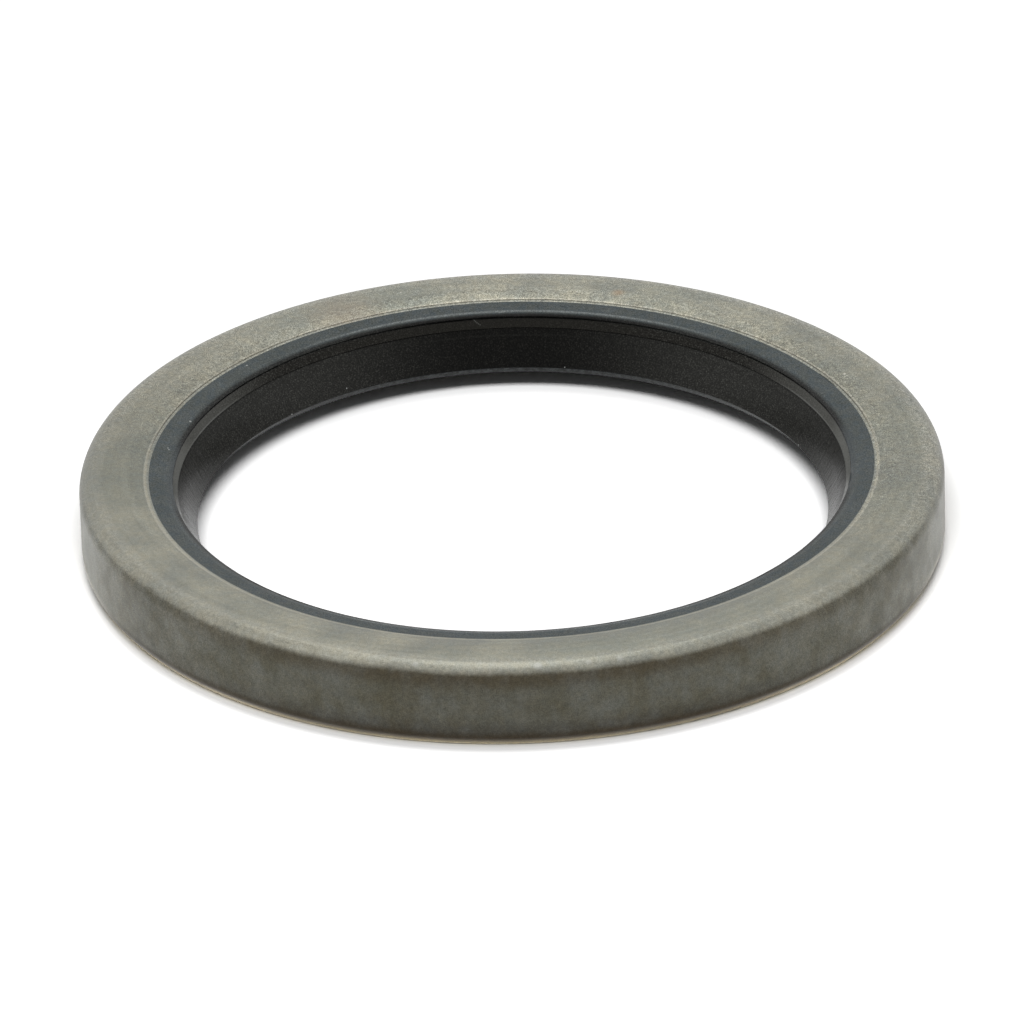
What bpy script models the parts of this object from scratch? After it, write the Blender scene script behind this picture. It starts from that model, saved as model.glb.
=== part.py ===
"""Camshaft seal: a radial shaft seal in a pressed steel case.

Three pieces share one axis, the shaft's, which is the Z axis:
  outer_case     pressed sheet steel cup with a flat flange, pushed into a housing bore
  sealing_lip    rubber moulded round the hole in the flange, carrying the sealing edge
  garter_spring  close coil in the groove of the lip, pressing its edge onto the shaft

Metres, +Z up. The seal rests on its open oil side: Z = 0 is the rim of the case, and
the flange, which faces the air side, is up.
"""

import bpy
from math import cos, pi, radians, sin, tan
from mathutils import Matrix, Vector

# Main sizes
SHAFT_DIAMETER = 0.060
SECTION_HEIGHT = 0.010
SEAL_WIDTH = 0.008
TURNING_STEPS = 80
SHARP_ANGLE = 35.0

# Clearances between the pieces
BOND_GAP = 0.00025
SPRING_GAP = 0.00025

# Case
SHEET_THICKNESS = 0.0010
BEND_INNER_RADIUS = 0.0006
BEND_STEPS = 4
SHOULDER_RADIUS = 0.020
SHOULDER_ANGLE = 3.0
DISH_WIDTH = 0.00245
DISH_DEPTH = 0.0003
DISH_STEPS = 2
LEAD_IN_HEIGHT = 0.0010
LEAD_IN_DEPTH = 0.0007
RIM_ROUND = 0.0003

# Lip, measured from its sealing edge
LIP_INTERFERENCE = 0.0016
LIP_DEPTH = 0.0049
AIR_FACE_ANGLE = 28.8
OIL_FACE_ANGLE = 38.0
HOLE_REACH = 0.00435
EDGE_ROUND = 0.00004

# Lip, measured from the flange's upper face at its hole
STEP_DEPTH = 0.00162
STEP_RELIEF = 0.00011
BAND_ANGLE = 27.0
BAND_HEIGHT = 0.00087
NOTCH_WIDTH = 0.00016
NOTCH_DEPTH = 0.00014
RIM_DROP = 0.00044
RUBBER_RIM_ROUND = 0.00014

# Lip, back of the section
NECK_THICKNESS = 0.0011
NECK_FILLET = 0.0005
SKIN_THICKNESS = 0.00045
SKIN_MARGIN = 0.0014
SKIN_EDGE_ROUND = 0.0002
LIP_WEB = 0.0007
SHOULDER_LAND = 0.0003
SHOULDER_SLOPE = 0.0002
BEAD_THICKNESS = 0.0004
BEAD_REACH = 0.00045
BEAD_ROUND = 0.00014
GROOVE_MOUTH_ANGLE = 15.0
GROOVE_STEPS = 8

# Garter spring
SPRING_COIL_DIAMETER = 0.0017
SPRING_OFFSET = 0.00075
SPRING_RELIEF = 0.00016
SPRING_TURNS = 100
SPRING_SIDES = 8

# Places that more than one piece needs
case_radius = SHAFT_DIAMETER / 2 + SECTION_HEIGHT
lip_radius = (SHAFT_DIAMETER - LIP_INTERFERENCE) / 2
hole_height = SEAL_WIDTH - DISH_DEPTH
lip_height = hole_height - LIP_DEPTH
hole_radius = lip_radius + HOLE_REACH
coil_radius = SPRING_COIL_DIAMETER / 2
groove_radius = coil_radius + SPRING_GAP


def air_face(height):
    """Radius of the lip's conical air-side face at a height."""
    return lip_radius + (height - lip_height) * tan(radians(AIR_FACE_ANGLE))


spring_height = lip_height + SPRING_OFFSET
web_to_spring = (LIP_WEB + groove_radius) / cos(radians(AIR_FACE_ANGLE))
spring_radius = air_face(spring_height) + web_to_spring


def clear_scene():
    for old in list(bpy.data.objects):
        bpy.data.objects.remove(old, do_unlink=True)


def seal_collection():
    collection = bpy.data.collections.new("camshaft_seal")
    bpy.context.scene.collection.children.link(collection)
    return collection


def finish(name, colour, metallic, roughness):
    material = bpy.data.materials.new(name)
    material.use_nodes = True
    shader = material.node_tree.nodes["Principled BSDF"]
    shader.inputs["Base Color"].default_value = (*colour, 1.0)
    shader.inputs["Metallic"].default_value = metallic
    shader.inputs["Roughness"].default_value = roughness
    return material


def arc(centre, radius, start, end, segments):
    """Sharp outline points along an arc, its angles counted in degrees from straight up."""
    points = []
    for step in range(segments + 1):
        angle = radians(start + (end - start) * step / segments)
        points.append((centre[0] + radius * sin(angle), centre[1] + radius * cos(angle), 0.0))
    return points


def rounded(corners, degrees_each=30.0):
    """Closed outline through corners (radius, height, rounding), with arcs at the rounded ones."""
    outline = []
    for index, (x, z, rounding) in enumerate(corners):
        corner = Vector((x, z))
        if rounding == 0.0:
            outline.append(corner)
            continue
        before = Vector(corners[index - 1][:2]) - corner
        after = Vector(corners[(index + 1) % len(corners)][:2]) - corner
        half = before.angle(after) / 2
        reach = min(rounding / tan(half), before.length / 2, after.length / 2)
        radius = reach * tan(half)
        start = corner + before.normalized() * reach
        middle = (before.normalized() + after.normalized()).normalized()
        centre = corner + middle * radius / sin(half)
        turn = (pi - 2 * half) * (-1 if before.cross(after) > 0 else 1)
        segments = max(2, round(abs(turn) / radians(degrees_each)))
        for step in range(segments + 1):
            outline.append(centre + Matrix.Rotation(turn * step / segments, 2) @ (start - centre))
    return outline


def turned_piece(name, corners, material, collection):
    """Solid of revolution about Z from a closed outline that runs down its outer side."""
    outline = rounded(corners)
    mesh = bpy.data.meshes.new(name)
    edges = [(index, (index + 1) % len(outline)) for index in range(len(outline))]
    mesh.from_pydata([(point.x, 0.0, point.y) for point in outline], edges, [])
    piece = bpy.data.objects.new(name, mesh)
    collection.objects.link(piece)
    turning = piece.modifiers.new("Turning", "SCREW")
    turning.axis = "Z"
    turning.angle = 2 * pi
    turning.steps = TURNING_STEPS
    turning.render_steps = TURNING_STEPS
    turning.use_merge_vertices = True
    turning.merge_threshold = 0.000001
    bpy.context.view_layer.objects.active = piece
    bpy.ops.object.modifier_apply(modifier=turning.name)
    shade_round(piece, material)
    return piece


def shade_round(piece, material):
    piece.data.shade_smooth()
    piece.data.set_sharp_from_angle(angle=radians(SHARP_ANGLE))
    piece.data.materials.append(material)


def flange_bend(inset):
    """Outer corner of the case, or its inner face where inset is the sheet's thickness.

    The flange falls off a little over a wide shoulder before the tight bend, and both arcs
    keep their centres on the two faces, so the sheet keeps its thickness round the corner.
    """
    bend_radius = BEND_INNER_RADIUS + SHEET_THICKNESS
    lean = radians(SHOULDER_ANGLE)
    shoulder_height = SEAL_WIDTH - SHOULDER_RADIUS
    arm = SHOULDER_RADIUS - bend_radius
    bend_centre = (case_radius - bend_radius, shoulder_height + arm * cos(lean))
    shoulder_centre = (bend_centre[0] - arm * sin(lean), shoulder_height)
    shoulder = arc(shoulder_centre, SHOULDER_RADIUS - inset, 0.0, SHOULDER_ANGLE, 1)
    bend = arc(bend_centre, bend_radius - inset, SHOULDER_ANGLE, 90.0, BEND_STEPS)
    return shoulder + bend[1:]


def dish(start_radius, top):
    """The flange's slope round its hole, from a start radius out to its flat part."""
    corners = []
    width = hole_radius + DISH_WIDTH - start_radius
    for step in range(DISH_STEPS + 1):
        radius = start_radius + width * step / DISH_STEPS
        share = (hole_radius + DISH_WIDTH - radius) / DISH_WIDTH
        corners.append((radius, top - DISH_DEPTH * share ** 2, 0.0))
    return corners


def case_corners():
    rim_radius = case_radius - LEAD_IN_DEPTH
    inner_wall = case_radius - SHEET_THICKNESS
    corners = dish(hole_radius, SEAL_WIDTH)
    corners += flange_bend(0.0)
    corners += [
        (case_radius, LEAD_IN_HEIGHT, 0.0),
        (rim_radius, 0.0, RIM_ROUND),
        (rim_radius - SHEET_THICKNESS, 0.0, RIM_ROUND),
        (inner_wall, LEAD_IN_HEIGHT, 0.0),
    ]
    corners += reversed(flange_bend(SHEET_THICKNESS))
    corners += reversed(dish(hole_radius, SEAL_WIDTH - SHEET_THICKNESS))
    return corners


def wrap_corners():
    """Rubber that grips the flange: up against its hole, and a skin under it.

    The skin's top follows the dish, and its underside is flat, so it is thinnest at the hole.
    """
    skin_top = SEAL_WIDTH - SHEET_THICKNESS - BOND_GAP
    skin_bottom = skin_top - DISH_DEPTH - SKIN_THICKNESS
    hole_face = hole_radius - BOND_GAP
    skin_radius = case_radius - SHEET_THICKNESS - SKIN_MARGIN
    neck_top = air_face(skin_bottom) + NECK_THICKNESS / cos(radians(AIR_FACE_ANGLE))
    corners = [(hole_face, hole_height, 0.0)]
    corners += dish(hole_face, skin_top)
    corners += [
        (skin_radius, skin_top, 0.0),
        (skin_radius, skin_bottom, SKIN_EDGE_ROUND),
        (neck_top, skin_bottom, NECK_FILLET),
    ]
    return corners


def groove_corners():
    """Back of the lip: the neck's foot, then the spring's groove, which opens outwards."""
    mouth = GROOVE_MOUTH_ANGLE
    groove = arc((spring_radius, spring_height), groove_radius, mouth, -180.0 - mouth, GROOVE_STEPS)
    bead_radius = spring_radius + BEAD_REACH
    groove_top = groove[0][1]
    groove_bottom = groove[-1][1]
    land_top = groove_top + SHOULDER_LAND
    neck_foot = land_top + SHOULDER_SLOPE
    neck_radius = air_face(neck_foot) + NECK_THICKNESS / cos(radians(AIR_FACE_ANGLE))
    nose_height = spring_height - groove_radius - BEAD_THICKNESS
    nose_radius = lip_radius + (lip_height - nose_height) * tan(radians(OIL_FACE_ANGLE))
    corners = [
        (neck_radius, neck_foot, 0.0),
        (bead_radius, land_top, 0.0),
        (bead_radius, groove_top, 0.0),
    ]
    corners += groove
    corners += [
        (bead_radius, groove_bottom, BEAD_ROUND),
        (bead_radius - BEAD_ROUND, nose_height, BEAD_ROUND),
        (nose_radius, nose_height, 0.0),
    ]
    return corners


def bore_corners():
    """The face seen from the air side: sealing edge, cone, band, parting notch and rim."""
    step_height = hole_height - STEP_DEPTH
    cone_top = air_face(step_height)
    band_foot = cone_top - STEP_RELIEF
    band_top = band_foot + BAND_HEIGHT * tan(radians(BAND_ANGLE))
    band_height = step_height + BAND_HEIGHT
    rim_height = hole_height - RIM_DROP
    return [
        (lip_radius, lip_height, EDGE_ROUND),
        (cone_top, step_height, 0.0),
        (band_foot, step_height + STEP_RELIEF, 0.0),
        (band_top, band_height, 0.0),
        (band_top + NOTCH_DEPTH, band_height + NOTCH_WIDTH / 2, 0.0),
        (band_top, band_height + NOTCH_WIDTH, 0.0),
        (band_top, rim_height, RUBBER_RIM_ROUND),
    ]


def garter_spring(material, collection):
    """Ring of close turns: a torus whose every second ring of points is drawn in."""
    bpy.ops.mesh.primitive_torus_add(
        major_segments=2 * SPRING_TURNS,
        minor_segments=SPRING_SIDES,
        major_radius=spring_radius,
        minor_radius=coil_radius,
        location=(0.0, 0.0, spring_height),
    )
    spring = bpy.context.object
    spring.name = "garter_spring"
    spring.data.name = "garter_spring"
    drawn_in = (coil_radius - SPRING_RELIEF) / coil_radius
    for vertex in spring.data.vertices:
        turn_ring = vertex.index // SPRING_SIDES
        if turn_ring % 2 == 1:
            flat = Vector((vertex.co.x, vertex.co.y, 0.0))
            middle = flat.normalized() * spring_radius
            vertex.co = middle + (vertex.co - middle) * drawn_in
    for owner in list(spring.users_collection):
        owner.objects.unlink(spring)
    collection.objects.link(spring)
    shade_round(spring, material)
    return spring


def build_seal():
    clear_scene()
    collection = seal_collection()
    steel = finish("pressed steel", (0.33, 0.32, 0.29), 1.0, 0.42)
    rubber = finish("moulded rubber", (0.022, 0.023, 0.024), 0.0, 0.55)
    spring_steel = finish("spring wire", (0.55, 0.54, 0.52), 1.0, 0.30)
    turned_piece("outer_case", case_corners(), steel, collection)
    lip_corners = wrap_corners() + groove_corners() + bore_corners()
    turned_piece("sealing_lip", lip_corners, rubber, collection)
    garter_spring(spring_steel, collection)


build_seal()
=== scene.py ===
from math import atan2, cos, degrees, pi, radians, sin, tan

import bmesh
import bpy
from mathutils import Matrix, Vector, noise


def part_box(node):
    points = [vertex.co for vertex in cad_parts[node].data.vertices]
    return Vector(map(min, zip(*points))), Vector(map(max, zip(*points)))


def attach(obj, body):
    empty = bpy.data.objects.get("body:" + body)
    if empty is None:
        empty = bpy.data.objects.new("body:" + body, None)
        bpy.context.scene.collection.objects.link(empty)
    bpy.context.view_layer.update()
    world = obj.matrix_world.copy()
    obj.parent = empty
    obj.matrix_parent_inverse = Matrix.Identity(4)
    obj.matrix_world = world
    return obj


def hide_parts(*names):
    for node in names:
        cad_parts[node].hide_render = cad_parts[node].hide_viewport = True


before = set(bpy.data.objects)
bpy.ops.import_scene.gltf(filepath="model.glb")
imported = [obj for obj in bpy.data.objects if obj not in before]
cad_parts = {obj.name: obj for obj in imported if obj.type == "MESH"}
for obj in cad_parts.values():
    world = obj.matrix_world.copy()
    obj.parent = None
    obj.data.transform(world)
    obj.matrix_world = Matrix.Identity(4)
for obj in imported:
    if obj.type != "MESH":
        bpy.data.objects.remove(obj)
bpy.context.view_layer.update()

# Outer case. A cup pressed from 1 mm cold-rolled steel sheet: a flange that dips a little to its
# hole, a rounded bend and a straight wall that is a press fit in its housing. The open rim is
# drawn in as a lead-in, and the punch has left a fine groove round the hole.

MM = 0.001
case_low, case_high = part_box("outer_case")
CASE_RADIUS = case_high.x
FLANGE_HEIGHT = case_high.z
SHEET = 1.0 * MM
HOLE_RADIUS = 33.55 * MM
DISH_WIDTH = 2.45 * MM
DISH_DEPTH = 0.40 * MM
DISH_STEPS = 9
PUNCH_GROOVE_RADIUS = 33.84 * MM
PUNCH_GROOVE_WIDTH = 0.07 * MM
PUNCH_GROOVE_DEPTH = 0.06 * MM
BEND_RADIUS = 1.6 * MM
SHOULDER_RADIUS = 20.0 * MM
SHOULDER_LEAN = radians(3.0)
LEAD_IN_HEIGHT = 1.0 * MM
LEAD_IN_DEPTH = 0.7 * MM
LEAD_IN_ROUND = 0.9 * MM
RIM_ROUND = 0.3 * MM
CASE_SHARP_ANGLE = radians(50)
RING_VERTICES = 512
CORNER_REACH = 0.004 * MM


def start_ring(name, radius, height):
    """A circle at the first corner of a turned section, left in edit mode with all of it selected."""
    bpy.ops.object.select_all(action="DESELECT")
    bpy.ops.mesh.primitive_circle_add(vertices=RING_VERTICES, radius=radius, location=(0, 0, height))
    piece = bpy.context.object
    piece.name = name
    bpy.ops.object.transform_apply(location=True, rotation=True, scale=True)
    bpy.ops.object.mode_set(mode="EDIT")
    bpy.ops.mesh.select_all(action="SELECT")
    return piece


def draw_section(corners):
    """Extrudes the selected ring from corner to corner of the section."""
    before = corners[0]
    for corner in corners[1:]:
        bpy.ops.mesh.extrude_edges_move()
        growth = corner[0] / before[0]
        bpy.ops.transform.resize(value=(growth, growth, 1))
        bpy.ops.transform.translate(value=(0, 0, corner[1] - before[1]))
        before = corner


def select_ring(piece, radius, height):
    """Selects the edges round the axis that run through one corner of the section."""
    bpy.ops.mesh.select_all(action="DESELECT")
    shape = bmesh.from_edit_mesh(piece.data)
    on_ring = {vertex for vertex in shape.verts
               if Vector((vertex.co.xy.length - radius, vertex.co.z - height)).length < CORNER_REACH}
    for edge in shape.edges:
        if edge.verts[0] in on_ring and edge.verts[1] in on_ring:
            edge.select = True
    bmesh.update_edit_mesh(piece.data)


def close_section(piece, first, last):
    """Bridges the first and the last ring, so that the section is closed."""
    select_ring(piece, *first)
    kept = [edge.index for edge in bmesh.from_edit_mesh(piece.data).edges if edge.select]
    select_ring(piece, *last)
    shape = bmesh.from_edit_mesh(piece.data)
    shape.edges.ensure_lookup_table()
    for index in kept:
        shape.edges[index].select = True
    bmesh.update_edit_mesh(piece.data)
    bpy.ops.mesh.bridge_edge_loops()


def round_corner(piece, corner, radius, turn, segments):
    """Rounds a corner of the section to a radius. turn is the angle that the section turns there."""
    select_ring(piece, *corner)
    bpy.ops.mesh.bevel(offset=radius * tan(turn / 2), segments=segments, affect="EDGES")


def finish_turning(piece, sharp):
    """Points all faces outwards and smooths every edge that is blunter than the sharp angle."""
    bpy.ops.mesh.select_all(action="SELECT")
    bpy.ops.mesh.normals_make_consistent(inside=False)
    bpy.ops.object.mode_set(mode="OBJECT")
    bpy.ops.object.shade_smooth_by_angle(angle=sharp)


def dish_height(radius):
    """Height of the flange's upper face near its hole."""
    share = max(0.0, (HOLE_RADIUS + DISH_WIDTH - radius) / DISH_WIDTH)
    return FLANGE_HEIGHT - DISH_DEPTH * share ** 2


def dished(start_radius, drop):
    """Corners of the flange's slope, from a start radius out to its flat part."""
    radii = [start_radius + (HOLE_RADIUS + DISH_WIDTH - start_radius) * step / DISH_STEPS
             for step in range(DISH_STEPS + 1)]
    return [(radius, dish_height(radius) - drop) for radius in radii]


slope_run = (BEND_RADIUS - SHOULDER_RADIUS) * sin(SHOULDER_LEAN)
shoulder_start = CASE_RADIUS - BEND_RADIUS + slope_run
shoulder_corner = shoulder_start + SHOULDER_RADIUS * tan(SHOULDER_LEAN / 2)
slope_drop = (CASE_RADIUS - shoulder_corner) * tan(SHOULDER_LEAN)
inner_corner = shoulder_start + (SHOULDER_RADIUS - SHEET) * tan(SHOULDER_LEAN / 2)
inner_radius = CASE_RADIUS - SHEET
inner_drop = (inner_radius - inner_corner) * tan(SHOULDER_LEAN)
rim_radius = CASE_RADIUS - LEAD_IN_DEPTH
lead_in_turn = atan2(LEAD_IN_DEPTH, LEAD_IN_HEIGHT)
bend_turn = pi / 2 - SHOULDER_LEAN

outer_shoulder = (shoulder_corner, FLANGE_HEIGHT)
outer_bend = (CASE_RADIUS, FLANGE_HEIGHT - slope_drop)
outer_lead_in = (CASE_RADIUS, LEAD_IN_HEIGHT)
outer_rim = (rim_radius, case_low.z)
inner_rim = (rim_radius - SHEET, case_low.z)
inner_lead_in = (inner_radius, LEAD_IN_HEIGHT)
inner_bend = (inner_radius, FLANGE_HEIGHT - SHEET - inner_drop)
inner_shoulder = (inner_corner, FLANGE_HEIGHT - SHEET)

groove_in = PUNCH_GROOVE_RADIUS - PUNCH_GROOVE_WIDTH
groove_out = PUNCH_GROOVE_RADIUS + PUNCH_GROOVE_WIDTH
groove_floor = (PUNCH_GROOVE_RADIUS, dish_height(PUNCH_GROOVE_RADIUS) - PUNCH_GROOVE_DEPTH)
hole_top = (HOLE_RADIUS, dish_height(HOLE_RADIUS))
hole_bottom = (HOLE_RADIUS, dish_height(HOLE_RADIUS) - SHEET)

case_corners = [hole_top, (groove_in, dish_height(groove_in)), groove_floor]
case_corners += dished(groove_out, 0.0)
case_corners += [outer_shoulder, outer_bend, outer_lead_in, outer_rim]
case_corners += [inner_rim, inner_lead_in, inner_bend, inner_shoulder]
case_corners += reversed(dished(HOLE_RADIUS, SHEET))

steel_case = start_ring("steel_case", *hole_top)
draw_section(case_corners)
close_section(steel_case, hole_top, hole_bottom)
for corner, corner_round, turn, segments in (
        (outer_shoulder, SHOULDER_RADIUS, SHOULDER_LEAN, 6),
        (outer_bend, BEND_RADIUS, bend_turn, 16),
        (outer_lead_in, LEAD_IN_ROUND, lead_in_turn, 5),
        (outer_rim, RIM_ROUND, pi / 2 - lead_in_turn, 6),
        (inner_rim, RIM_ROUND, pi / 2 + lead_in_turn, 6),
        (inner_lead_in, LEAD_IN_ROUND, lead_in_turn, 3),
        (inner_bend, BEND_RADIUS - SHEET, bend_turn, 6),
        (inner_shoulder, SHOULDER_RADIUS - SHEET, SHOULDER_LEAN, 3)):
    round_corner(steel_case, corner, corner_round, turn, segments)
finish_turning(steel_case, CASE_SHARP_ANGLE)


def turned_to(vertex, radius, height):
    """Moves a vertex to another radius and height without turning it about the axis."""
    flat = vertex.co.xy.normalized() * radius
    vertex.co = (flat.x, flat.y, height)


def arc_share(angle, start, end, blur):
    """1 between two angles round the axis and 0 outside, with soft ends. All in degrees."""
    rise = min(1.0, max(0.0, (angle - start) / blur))
    fall = min(1.0, max(0.0, (end - angle) / blur))
    return min(rise, fall)


def ragged_at(angle, slow, fast):
    """An uneven line round the axis: a slow wave and half as much of a fast one.

    Each wave is given by its steps for a degree and by its row and layer in the noise.
    """
    waves = [noise.noise(Vector((angle * steps, row, layer))) for steps, row, layer in (slow, fast)]
    return waves[0] + 0.5 * waves[1]


# The groove is full depth over the back half and worn shallow in front. At one place on the right
# the punch has pushed a burr over it, which fills the groove and leans over the hole's edge.
VERTEX_REACH = 0.01 * MM
BURR_ARC = (24.3, 30.4, 0.9)
BURR_FILL = 0.92
BURR_SHIFT = 0.03 * MM
BURR_LEAN = 0.06 * MM
BURR_RISE = 0.02 * MM
BURR_OVER_HOLE = 0.07 * MM
CLEAR_GROOVE_ARC = (1.0, 170.0, 8.0)
WORN_DEPTH_SHARE = 0.2
DEPTH_UNEVENNESS = 0.5
GROOVE_WANDER = 0.02 * MM
GROOVE_EDGE_WANDER = 0.012 * MM
for vertex in steel_case.data.vertices:
    radius = vertex.co.xy.length
    angle = degrees(atan2(vertex.co.y, vertex.co.x))
    on_top = vertex.co.z > FLANGE_HEIGHT - SHEET / 2
    burr = arc_share(angle, *BURR_ARC)
    ragged = ragged_at(angle, (0.35, 3.0, 0.0), (1.7, 9.0, 0.0))
    if on_top and abs(radius - PUNCH_GROOVE_RADIUS) < VERTEX_REACH:
        cut = WORN_DEPTH_SHARE + (1 - WORN_DEPTH_SHARE) * arc_share(angle, *CLEAR_GROOVE_ARC)
        depth = PUNCH_GROOVE_DEPTH * cut * (1 + DEPTH_UNEVENNESS * ragged) * (1 - BURR_FILL * burr)
        turned_to(vertex, radius + GROOVE_WANDER * ragged + BURR_SHIFT * burr, dish_height(radius) - depth)
    elif on_top and abs(radius - groove_out) < VERTEX_REACH:
        turned_to(vertex, radius + GROOVE_EDGE_WANDER * ragged, vertex.co.z)
    elif on_top and abs(radius - groove_in) < VERTEX_REACH:
        turned_to(vertex, radius + BURR_LEAN * burr, vertex.co.z + BURR_RISE * burr)
    elif abs(radius - HOLE_RADIUS) < VERTEX_REACH:
        turned_to(vertex, radius + BURR_OVER_HOLE * burr, vertex.co.z)


def linear(hex_colour):
    """An sRGB hex colour as the linear values that a shader takes."""
    channels = [int(hex_colour[start:start + 2], 16) / 255 for start in (1, 3, 5)]
    return [c / 12.92 if c <= 0.04045 else ((c + 0.055) / 1.055) ** 2.4 for c in channels] + [1.0]


def add(tree, kind, inputs=(), out=None, **settings):
    """Adds a node with its settings, and with values or other nodes' outputs on its sockets.

    The inputs are a list in the sockets' order, or a dict. It gives back the node, or its output out.
    """
    made = tree.nodes.new(kind)
    for name, value in settings.items():
        setattr(made, name, value)
    sockets = inputs if isinstance(inputs, dict) else dict(enumerate(inputs))
    for socket, value in sockets.items():
        if isinstance(value, bpy.types.NodeSocket):
            tree.links.new(value, made.inputs[socket])
        else:
            made.inputs[socket].default_value = value
    return made if out is None else made.outputs[out]


def new_finish(name):
    """A new material with an empty node tree, and the object's own coordinates in it."""
    material = bpy.data.materials.new(name)
    material.use_nodes = True
    material.node_tree.nodes.clear()
    return material, material.node_tree, add(material.node_tree, "ShaderNodeTexCoord", out="Object")


def around(tree, place):
    """Radius, height and direction round the axis, and how far that points right and to the back."""
    along_x, along_y, height = add(tree, "ShaderNodeSeparateXYZ", (place,)).outputs
    flat = add(tree, "ShaderNodeCombineXYZ", (along_x, along_y, 0.0), 0)
    radius = add(tree, "ShaderNodeVectorMath", (flat,), "Value", operation="LENGTH")
    direction = add(tree, "ShaderNodeVectorMath", (flat,), 0, operation="NORMALIZE")
    to_right, to_back, _ = add(tree, "ShaderNodeSeparateXYZ", (direction,)).outputs
    return radius, height, direction, to_right, to_back


def grains(tree, place, kinds):
    """Noise patterns from 0 to 1, one for each kind.

    A kind is the size of its grains in mm, the share of the height that counts, which draws them out
    upwards where it is small, and the noise's detail and roughness.
    """
    patterns = []
    for size_mm, height_share, detail, roughness in kinds:
        drawn_out = add(tree, "ShaderNodeVectorMath", (place, (1.0, 1.0, height_share)), 0,
                        operation="MULTIPLY")
        patterns.append(add(tree, "ShaderNodeTexNoise", {
            "Vector": drawn_out, "Scale": 1 / (size_mm * MM), "Detail": detail,
            "Roughness": roughness}, "Fac"))
    return patterns


def lines_round(tree, direction, per_radian, across, roughness):
    """Noise in rings or streaks. per_radian is how fast it changes round the axis, and across is a
    place that changes with the radius or the height."""
    along = add(tree, "ShaderNodeVectorMath", {0: direction, 3: per_radian}, 0, operation="SCALE")
    spot = add(tree, "ShaderNodeVectorMath", (along, across), 0, operation="ADD")
    return add(tree, "ShaderNodeTexNoise", {
        "Vector": spot, "Scale": 1.0, "Detail": 2.0, "Roughness": roughness}, "Fac")


def off_line(tree, value, middle):
    """Distance of a value from the middle of a line."""
    offset = add(tree, "ShaderNodeMath", (value, middle), 0, operation="SUBTRACT")
    return add(tree, "ShaderNodeMath", (offset,), 0, operation="ABSOLUTE")


def coat(tree, colour, shade, follows, start, full, strength=1.0, within=None):
    """Lays a shade over a colour: none where follows is at start, and all its strength at full."""
    share = add(tree, "ShaderNodeMapRange", (follows, start, full, 0.0, strength), 0,
                interpolation_type="SMOOTHSTEP")
    if within is not None:
        share = add(tree, "ShaderNodeMath", (share, within), 0, operation="MULTIPLY")
    if isinstance(shade, str):
        shade = linear(shade)
    return add(tree, "ShaderNodeMix", {0: share, 6: colour, 7: shade}, 2, data_type="RGBA")


def brighten(tree, colour, factor):
    """Multiplies a colour by a number from another node."""
    grey = add(tree, "ShaderNodeCombineColor", (factor, factor, factor), 0)
    return add(tree, "ShaderNodeMix", {0: 1.0, 6: colour, 7: grey}, 2,
               data_type="RGBA", blend_type="MULTIPLY")


def grained(tree, colour, pattern, low, high, darkest, brightest):
    """Darkens and brightens a colour evenly between two levels of a pattern."""
    factor = add(tree, "ShaderNodeMapRange", (pattern, low, high, darkest, brightest), 0)
    return brighten(tree, colour, factor)


def mark(tree, colour, place, angle, radius_mm, height_mm, size_mm, core, strength, shade):
    """Lays a small round mark on a colour. core is the share of its size that has its full strength."""
    middle = (radius_mm * MM * cos(radians(angle)), radius_mm * MM * sin(radians(angle)), height_mm * MM)
    away = add(tree, "ShaderNodeVectorMath", (place, middle), "Value", operation="DISTANCE")
    return coat(tree, colour, shade, away, size_mm * MM, size_mm * MM * core, strength)


# Satin cold-rolled steel, as it comes from the press. The flange is a light warm grey with a fine
# blasted grain, painted glints in it, and faint rings from the tool; the wall is darker and mottled
# brown and blue-grey, partly oil and scale smeared by drawing and partly painted shade, darkest in
# front. The land round the hole is rubbed bright and carries a painted highlight. Real blasted grain
# is finer than 0.10 mm, but that is the finest that still shows in the render.
steel, tree, place = new_finish("satin_cold_rolled_steel")
radius, height, direction, to_right, to_back = around(tree, place)
grain,coarse_grain, hue_grain, patches, clouds, drawn_marks, blotches, streaks = grains(tree, place, (
    (0.10, 1.0, 2.0, 0.65), (0.38, 1.0, 3.0, 0.6), (0.9, 1.0, 2.0, 0.6), (5.0, 1.0, 3.0, 0.55),
    (14.0, 1.0, 2.0, 0.5), (1.1, 0.22, 3.0, 0.6), (2.2, 0.9, 2.0, 0.5), (0.42, 0.18, 2.0, 0.5)))
rings = []
for spacing_mm, row, roughness in ((0.16, 0.0, 0.6), (0.7, 4.0, 0.5)):
    ring_count = add(tree, "ShaderNodeMath", (radius, 1 / (spacing_mm * MM)), 0, operation="MULTIPLY")
    ring_place = add(tree, "ShaderNodeCombineXYZ", (ring_count, row, 0.0), 0)
    rings.append(lines_round(tree, direction, 2.6, ring_place, roughness))
tool_rings, wide_rings = rings

# The flange. Its groove is open over the back half and darker along it, and filled with bright metal
# in front. The land and the shoulder are painted lighter, partly rubbed metal and partly painted
# highlight.
on_top = add(tree, "ShaderNodeMapRange", (height, 7.2 * MM, 7.4 * MM), 0, interpolation_type="SMOOTHSTEP")
open_groove = add(tree, "ShaderNodeMapRange", (to_back, 0.0, 0.35), 0, interpolation_type="SMOOTHSTEP")
filled_groove = add(tree, "ShaderNodeMapRange", (open_groove, 1.0, 0.0), 0, interpolation_type="SMOOTHSTEP")
off_rubbed_and_highlit_land = off_line(tree, radius, 33.97 * MM)
off_dark_groove_line = off_line(tree, radius, 33.83 * MM)
off_filling = off_line(tree, radius, 33.85 * MM)
flange_colour = coat(tree, linear("#83847b"), "#9b998b", patches, 0.3, 0.7)
flange_colour = coat(tree, flange_colour, "#82857b", clouds, 0.4, 0.7, 0.5)
flange_colour = coat(tree, flange_colour, "#a2a39c", radius, 33.80 * MM, 33.74 * MM, 0.35, on_top)
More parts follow.
